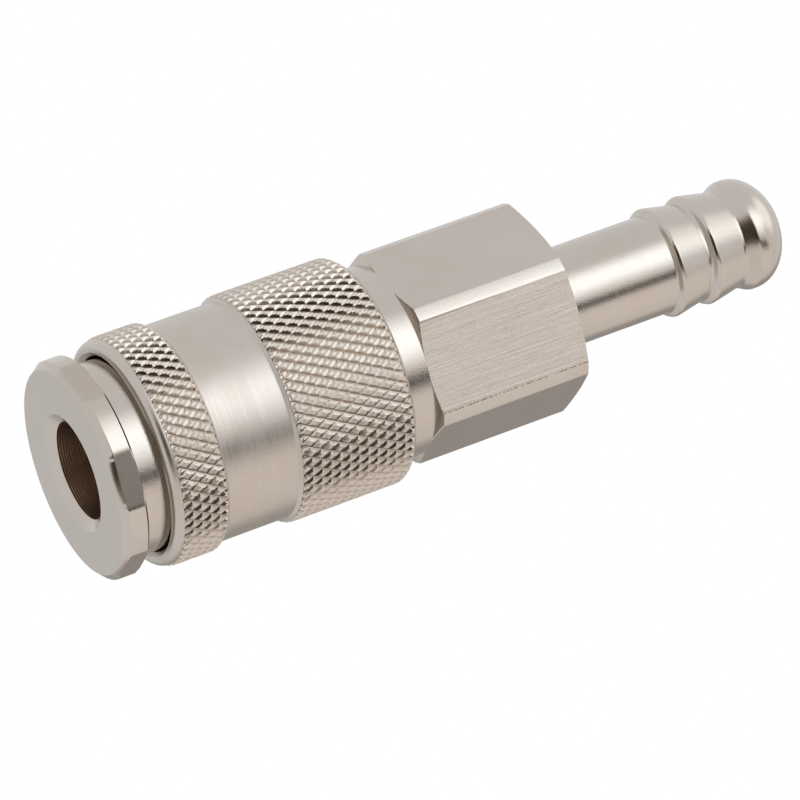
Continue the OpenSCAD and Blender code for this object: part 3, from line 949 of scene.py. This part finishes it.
def rear_body_outline(corner_r):
    """Outline of the collar, the hexagon's turned corners and the barbed tail, with the passage inside."""
    front_rise = corner_r - COLLAR_R
    front_cone = front_rise * math.tan(math.radians(24))
    rear_fall = corner_r - HEX_REAR_R
    rear_cone = rear_fall * math.tan(math.radians(15))
    past_collar = 0.002
    cone_steps = 14
    front = []
    rear = []
    for k in range(cone_steps + 1):
        share = k / cone_steps
        front.append((COLLAR_R + front_rise * share, HEX_FRONT + past_collar + front_cone * share, 0))
        rear.append((corner_r - rear_fall * share, HEX_REAR - rear_cone * (1 - share), 0))
    barbs = []
    blunt = 0.14
    shoulder = 0.27
    crest = 0.55
    root = 0.35
    for low in (FIRST_BARB, FIRST_BARB + BARB_PITCH):
        barbs += [(TUBE_R, low, blunt), (BARB_R - blunt, low + shoulder, 0.05), (BARB_R, low + crest, 0.5)]
        barbs += [(TUBE_R, low + BARB_PITCH - root, 0.15)]
    end_chamfer = 0.15
    tip_l = 3.1
    tip_turn = math.acos((PASSAGE_R + 0.2) / BARB_R)
    tip_height = tip_l / math.sin(tip_turn)
    tip = arc_points((0, TAIL_END - tip_l), BARB_R, tip_height, 0, math.degrees(tip_turn), 20)
    return rounded([
        (JOINT_R, COLLAR_FRONT), (COLLAR_R, COLLAR_FRONT, 0.1), (COLLAR_R, HEX_FRONT, 0), *front, *rear,
        (TUBE_R, HEX_REAR, 0.1), *barbs, (TUBE_R, BEAD_FRONT - 0.05, 0.5), (BARB_R, BEAD_FRONT + 1.2, 2.6),
        *[(r, z, 0) for r, z in tip], (PASSAGE_R + end_chamfer, TAIL_END, 0.03),
        (PASSAGE_R, TAIL_END - end_chamfer, 0.03), (PASSAGE_R, POCKET_END), (POCKET_R, POCKET_END),
        (POCKET_R, GASKET_END), (JOINT_R, GASKET_END),
    ], segments=4)


def valve_outline():
    """Outline of the hollow stem, the head and the boss, closed on the axis by a pinhole's width."""
    pinhole = 0.02
    return rounded([
        (STEM_BORE_R, STEM_FRONT, 0.06), (STEM_R, STEM_FRONT, 0.15), (STEM_R, HEAD_FRONT),
        (HEAD_R, HEAD_FRONT, 0.08), (HEAD_R, HEAD_BACK, 0.15), (BOSS_R, HEAD_BACK), (BOSS_R, BOSS_END, 0.2),
        (pinhole, BOSS_END, 0), (pinhole, SEAT, 0), (STEM_BORE_R, SEAT),
    ])


class COUPLING_OT_front_body(bpy.types.Operator):
    """Turns the flange with its six flats, the neck and the ball cage"""

    bl_idname = "coupling.front_body"
    bl_label = "Front Body"

    def execute(self, context):
        across = context.scene.coupling_body.flange_across / MM
        flats = (across, -1.0, FLANGE_TOP + 0.01, NECK_R + 0.4)
        body = turned("front_body_turned", front_body_outline(), steps=432, flats=flats)
        hole = [(BALL_LIP_R, RELIEF_R - 0.5), (BALL_HOLE_R, RELIEF_R + 0.3), (BALL_HOLE_R, CAGE_R + 1)]
        drill(body, [cross_hole(f"ball_hole_{k}", 60 * k, BALL_HEIGHT, hole) for k in range(6)])
        place_piece(body, "coupling_body", "front_body", "nickel_body")
        return {"FINISHED"}


class COUPLING_OT_release_sleeve(bpy.types.Operator):
    """Turns the release sleeve and rolls its two knurls"""

    bl_idname = "coupling.release_sleeve"
    bl_label = "Release Sleeve"

    def execute(self, context):
        sizes = context.scene.coupling_sleeve
        sleeve = turned("release_sleeve_knurled", sleeve_outline(), steps=320)
        front = (FRONT_KNURL_LOW, FRONT_KNURL_HIGH, sizes.front_rows)
        rear = (REAR_KNURL_LOW, REAR_KNURL_HIGH, sizes.rear_rows)
        for low, high, rows in (front, rear):
            grown(sleeve, "Diamond Knurl", knurl_tree, {
                "Turned Sleeve": None,
                "Crest Radius": sizes.knurl_diameter / 2,
                "Groove Depth": sizes.groove_depth,
                "Diamonds Round": sizes.diamonds_round,
                "Half Rows": rows,
                "Low End": low * MM,
                "High End": high * MM,
                "Flank Share": sizes.flank_share,
                "Ridge Share": sizes.ridge_share,
                "Unevenness": sizes.unevenness,
                "End Radius": (RING_R - 0.02) * MM,
                "End Chamfer": KNURL_CHAMFER * MM,
                "Hidden Radius": (CORE_R - 0.4) * MM,
                "Metal": finish("nickel_sleeve"),
            })
        settle(sleeve)
        place_piece(sleeve, "sleeve", "release_sleeve", "nickel_sleeve")
        return {"FINISHED"}


class COUPLING_OT_rear_body(bpy.types.Operator):
    """Turns the collar, the hexagon's corners and the barbed hose tail from one bar"""

    bl_idname = "coupling.rear_body"
    bl_label = "Rear Body"

    def execute(self, context):
        sizes = context.scene.coupling_body
        flats = (sizes.hexagon_across / MM, HEX_FRONT + 0.001, HEX_REAR + 0.01, 9.0)
        outline = rear_body_outline(sizes.turned_corner / 2 / MM)
        body = turned("rear_body_turned", outline, steps=480, flats=flats)
        place_piece(body, "coupling_body", "rear_body", "nickel_body")
        return {"FINISHED"}


class COUPLING_OT_springs(bpy.types.Operator):
    """Winds the sleeve's spring and the valve's spring"""

    bl_idname = "coupling.springs"
    bl_label = "Springs"

    def execute(self, context):
        sizes = context.scene.coupling_springs
        wires = (sizes.sleeve_wire, sizes.valve_wire)
        turns = (sizes.sleeve_coils, sizes.valve_coils)
        seats = [
            ("sleeve", SLEEVE_SPRING_R, LAND_END, COLLAR_FRONT, SLEEVE_TRAVEL),
            ("valve", VALVE_SPRING_R, HEAD_BACK, POCKET_END, VALVE_TRAVEL),
        ]
        for (user, mean_r, low_seat, high_seat, travel), wire, coils in zip(seats, wires, turns):
            name = f"{user}_spring_wound"
            low = low_seat + SPRING_GAP
            high = high_seat - SPRING_GAP
            spring = new_object(name, bpy.data.meshes.new(name))
            grown(spring, "Coil Spring", coil_tree, {
                "Mean Radius": mean_r * MM,
                "Wire Diameter": wire,
                "Coils": coils,
                "Low End": low * MM,
                "High End": high * MM,
                "Metal": finish("spring_steel"),
            })
            settle(spring)
            place_piece(spring, "coupling_body", f"{user}_spring", "spring_steel")
            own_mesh(spring)
        return {"FINISHED"}


class COUPLING_OT_balls(bpy.types.Operator):
    """Sets the six locking balls in their holes"""

    bl_idname = "coupling.balls"
    bl_label = "Locking Balls"

    def execute(self, context):
        for number in range(6):
            name = f"ball_{number + 1}_polished"
            ball = new_object(name, bpy.data.meshes.new(name))
            grown(ball, "Locking Ball", ball_tree, {
                "Ball Radius": BALL_R * MM,
                "Distance From Axis": BALL_AT_R * MM,
                "Height": BALL_HEIGHT * MM,
                "Turn": math.radians(60 * number),
                "Metal": finish("ball_steel"),
            })
            settle(ball)
            place_piece(ball, f"locking_ball_{number + 1}", f"ball_{number + 1}", "ball_steel")
        return {"FINISHED"}


class COUPLING_OT_seals(bpy.types.Operator):
    """Moulds the plug's ring, the valve's flat seal and the washer between the bodies"""

    bl_idname = "coupling.seals"
    bl_label = "Seals"

    def execute(self, context):
        section = arc_points((SEAL_MIDDLE_R, SEAL_HEIGHT), SEAL_SECTION_R, SEAL_SECTION_R, 0, 345, 23)
        edge_r = HEAD_R - 0.1
        low = SEAT + 0.05
        valve_ring = rounded([
            (STEM_R, low), (edge_r, low, 0.15), (edge_r, HEAD_FRONT), (STEM_R, HEAD_FRONT),
        ])
        inner = CHAMBER_R + 0.2
        outer = JOINT_R - 0.1
        washer = rounded([
            (inner, FRONT_BODY_END), (outer, FRONT_BODY_END), (outer, GASKET_END), (inner, GASKET_END),
        ])
        moulded = [
            ("plug_seal", "plug_seal_ring", section, 160, "coupling_body"),
            ("valve_seal", "valve_seal_ring", valve_ring, 128, "valve"),
            ("body_gasket", "body_gasket_washer", washer, 128, "coupling_body"),
        ]
        for node_name, name, outline, steps, body in moulded:
            place_piece(turned(name, outline, steps), body, node_name, "seal_rubber")
        return {"FINISHED"}


class COUPLING_OT_valve(bpy.types.Operator):
    """Turns the hollow valve and drills its four cross holes"""

    bl_idname = "coupling.valve"
    bl_label = "Valve"

    def execute(self, context):
        valve = turned("valve_turned", valve_outline(), steps=128)
        through = [(CROSS_HOLE_R, -STEM_R - 1), (CROSS_HOLE_R, STEM_R + 1)]
        drill(valve, [cross_hole(f"window_{angle}", angle, CROSS_HOLES, through) for angle in (45, 135)])
        place_piece(valve, "valve", "valve_poppet", "valve_brass")
        return {"FINISHED"}


# Directions seen from the camera: the coupling's side towards it, the side above, and its own axis
ROLL = math.radians(16.6)
NEAR = Vector((math.cos(ROLL), math.sin(ROLL), 0))
ABOVE = Vector((math.sin(ROLL), -math.cos(ROLL), 0))
AXIS = Vector((0, 0, 1))
SCREEN_RIGHT = 0.34788 * NEAR - 0.34071 * ABOVE + 0.87344 * AXIS
SCREEN_UP = 0.12607 * NEAR + 0.94017 * ABOVE + 0.31653 * AXIS
TO_CAMERA = 0.92903 * NEAR - 0.37002 * AXIS
CAMERA_AT = (561.85 * NEAR - 4.23 * ABOVE - 188.46 * AXIS) * MM


def screen_way(right, up, near):
    """A direction by its parts along the picture's right, its top and the way to the camera."""
    return right * SCREEN_RIGHT + up * SCREEN_UP + near * TO_CAMERA


KEY_WAY = screen_way(0.57, 0.43, 0.70)
SIDE_WAY = screen_way(0.82, 0.56, -0.02)
LENS_WAY = screen_way(0.04, -0.06, 1.0)
TABLE_WAY = screen_way(0.12, -0.32, -0.94)
LEFT_WAY = screen_way(-0.62, -0.36, -0.70)
FOOT_WAY = screen_way(0.74, -0.65, 0.17)
WHITE = (1.0, 1.0, 1.0)
WARM_LIGHT = (1.02, 0.955, 0.905)
COOL_LIGHT = (0.95, 1.0, 1.05)
OPENING_LIGHT = (1.12, 0.9, 0.72)


def world_light(studio):
    """A white tent with a bright soft panel, a dark gap on the camera's side and a dimmer table."""
    world = bpy.data.worlds.new("light_tent")
    bpy.context.scene.world = world
    world.use_nodes = True
    world.node_tree.nodes.clear()
    nodes = Nodes(world.node_tree)
    way = nodes.out("ShaderNodeTexCoord", None, "Generated")

    def towards(direction):
        given = {0: way, 1: tuple(direction.normalized())}
        return nodes.out("ShaderNodeVectorMath", given, "Value", operation="DOT_PRODUCT")

    right = towards(SCREEN_RIGHT)
    up = towards(SCREEN_UP)
    near = towards(TO_CAMERA)
    key = nodes.stepped(towards(KEY_WAY), 0.83, 1.0)
    side = nodes.stepped(towards(SIDE_WAY), 0.84, 0.98)
    level = key * studio.key_level + studio.tent_level + side * studio.side_level

    # The gap between the panels runs level to the right of the opening for the lens
    off_gap = abs(up - (right * -0.12 + -0.19))
    beside_lens = nodes.stepped(near, 0.1, 0.45) * nodes.stepped(right, -0.1, 0.3)
    gap = nodes.stepped(off_gap, 0.18, 0.04) * beside_lens
    opening = nodes.stepped(towards(LENS_WAY), 0.80, 0.95)

    # Behind the coupling the table's edge and a corner of the tent are dimmer, and its foot is brighter
    dimmings = [
        (gap, studio.gap_depth),
        (opening, studio.lens_depth),
        (nodes.stepped(towards(TABLE_WAY), 0.77, 0.97), studio.table_depth),
        (nodes.stepped(towards(LEFT_WAY), 0.86, 0.99), 0.15),
        (nodes.stepped(towards(FOOT_WAY), 0.84, 0.99), -0.09),
    ]
    for share, amount in dimmings:
        level = level * (1.0 - share * amount)
    low_side = nodes.stepped(up, 0.15, -0.5) * nodes.stepped(right, -0.5, 0.3)
    warmed = nodes.tinted(low_side, WHITE, WARM_LIGHT)
    cooled = nodes.tinted(key * 0.8, warmed, COOL_LIGHT)
    tone = nodes.tinted(opening, cooled, OPENING_LIGHT)
    seen = nodes.out("ShaderNodeLightPath", None, "Is Camera Ray")
    given = {"Color": nodes.tinted(seen, tone, WHITE), "Strength": nodes.mixed(seen, level, 1.0)}
    nodes.node("ShaderNodeOutputWorld", {"Surface": nodes.out("ShaderNodeBackground", given)})


def floor_material(tone):
    """A plain pale floor that only the camera sees, and only from above, with the shadow on it."""
    made = bpy.data.materials.new("pale_floor")
    made.use_nodes = True
    made.node_tree.nodes.clear()
    nodes = Nodes(made.node_tree)
    mottle = nodes.noise(nodes.place(), 40.0, 3.0)
    shade = nodes.tinted(mottle * 0.1, tone, [0.96 * part for part in tone])
    plain = nodes.out("ShaderNodeBsdfDiffuse", {"Color": shade})
    clear = nodes.out("ShaderNodeBsdfTransparent")
    seen = nodes.out("ShaderNodeLightPath", None, "Is Camera Ray")
    behind = nodes.out("ShaderNodeNewGeometry", None, "Backfacing")
    both = nodes.out("ShaderNodeMixShader", {0: seen * (1.0 - behind), 1: clear, 2: plain})
    nodes.node("ShaderNodeOutputMaterial", {"Surface": both})
    return made


class COUPLING_OT_stage(bpy.types.Operator):
    """Sets the pale floor, the soft light and the camera"""

    bl_idname = "coupling.stage"
    bl_label = "Stage"

    def execute(self, context):
        studio = context.scene.coupling_studio
        mesh = bpy.data.meshes.new("floor")
        half = 0.6
        low = -0.0002
        corners = [(-half, -half, low), (half, -half, low), (half, half, low), (-half, half, low)]
        mesh.from_pydata(corners, [], [(0, 1, 2, 3)])
        mesh.materials.append(floor_material(studio.floor_tone))
        new_object("floor", mesh)

        lamp = bpy.data.lights.new("soft_lamp", "AREA")
        lamp.shape = "DISK"
        lamp.size = 0.25
        lamp.energy = studio.lamp_power
        soft = new_object("soft_lamp", lamp)
        middle = Vector((0, 0, 0.04))
        lamp_distance = 0.5
        way = KEY_WAY.normalized()
        soft.location = middle + way * lamp_distance
        soft.rotation_mode = "QUATERNION"
        soft.rotation_quaternion = (-way).to_track_quat("-Z", "Y")

        world_light(studio)

        lens = bpy.data.cameras.new("camera")
        lens.lens = 270
        lens.sensor_width = 36
        lens.clip_start = 0.05
        lens.clip_end = 10
        camera = new_object("camera", lens)
        turn = Matrix((SCREEN_RIGHT, SCREEN_UP, TO_CAMERA)).transposed()
        camera.matrix_world = Matrix.Translation(CAMERA_AT) @ turn.to_4x4()
        context.scene.camera = camera
        context.scene.view_settings.view_transform = "Standard"
        return {"FINISHED"}


class COUPLING_PT_panel(bpy.types.Panel):
    """Sizes, colours and pieces of the coupling"""

    bl_idname = "COUPLING_PT_panel"
    bl_label = "Hose Tail Coupling"
    bl_space_type = "VIEW_3D"
    bl_region_type = "UI"
    bl_category = "Coupling"

    def draw(self, context):
        for group_name in SETTINGS:
            settings = getattr(context.scene, group_name)
            box = self.layout.box()
            for name in settings.__annotations__:
                box.prop(settings, name)
        for operator in PIECES:
            self.layout.operator(operator.bl_idname)


PIECES = (
    COUPLING_OT_front_body,
    COUPLING_OT_release_sleeve,
    COUPLING_OT_rear_body,
    COUPLING_OT_springs,
    COUPLING_OT_balls,
    COUPLING_OT_seals,
    COUPLING_OT_valve,
    COUPLING_OT_stage,
)
SETTINGS = {
    "coupling_sleeve": SleeveSizes,
    "coupling_body": BodySizes,
    "coupling_springs": SpringSizes,
    "coupling_colours": FinishColours,
    "coupling_studio": StudioSettings,
}


def register():
    for made in (*SETTINGS.values(), *PIECES, COUPLING_PT_panel):
        bpy.utils.register_class(made)
    for name, settings in SETTINGS.items():
        setattr(bpy.types.Scene, name, PointerProperty(type=settings))


def unregister():
    for name in SETTINGS:
        delattr(bpy.types.Scene, name)
    for made in (COUPLING_PT_panel, *reversed(PIECES), *SETTINGS.values()):
        bpy.utils.unregister_class(made)


def main():
    register()
    bpy.ops.coupling.front_body()
    bpy.ops.coupling.release_sleeve()
    bpy.ops.coupling.rear_body()
    bpy.ops.coupling.springs()
    bpy.ops.coupling.balls()
    bpy.ops.coupling.seals()
    bpy.ops.coupling.valve()
    bpy.ops.coupling.stage()


if __name__ == "__main__":
    main()
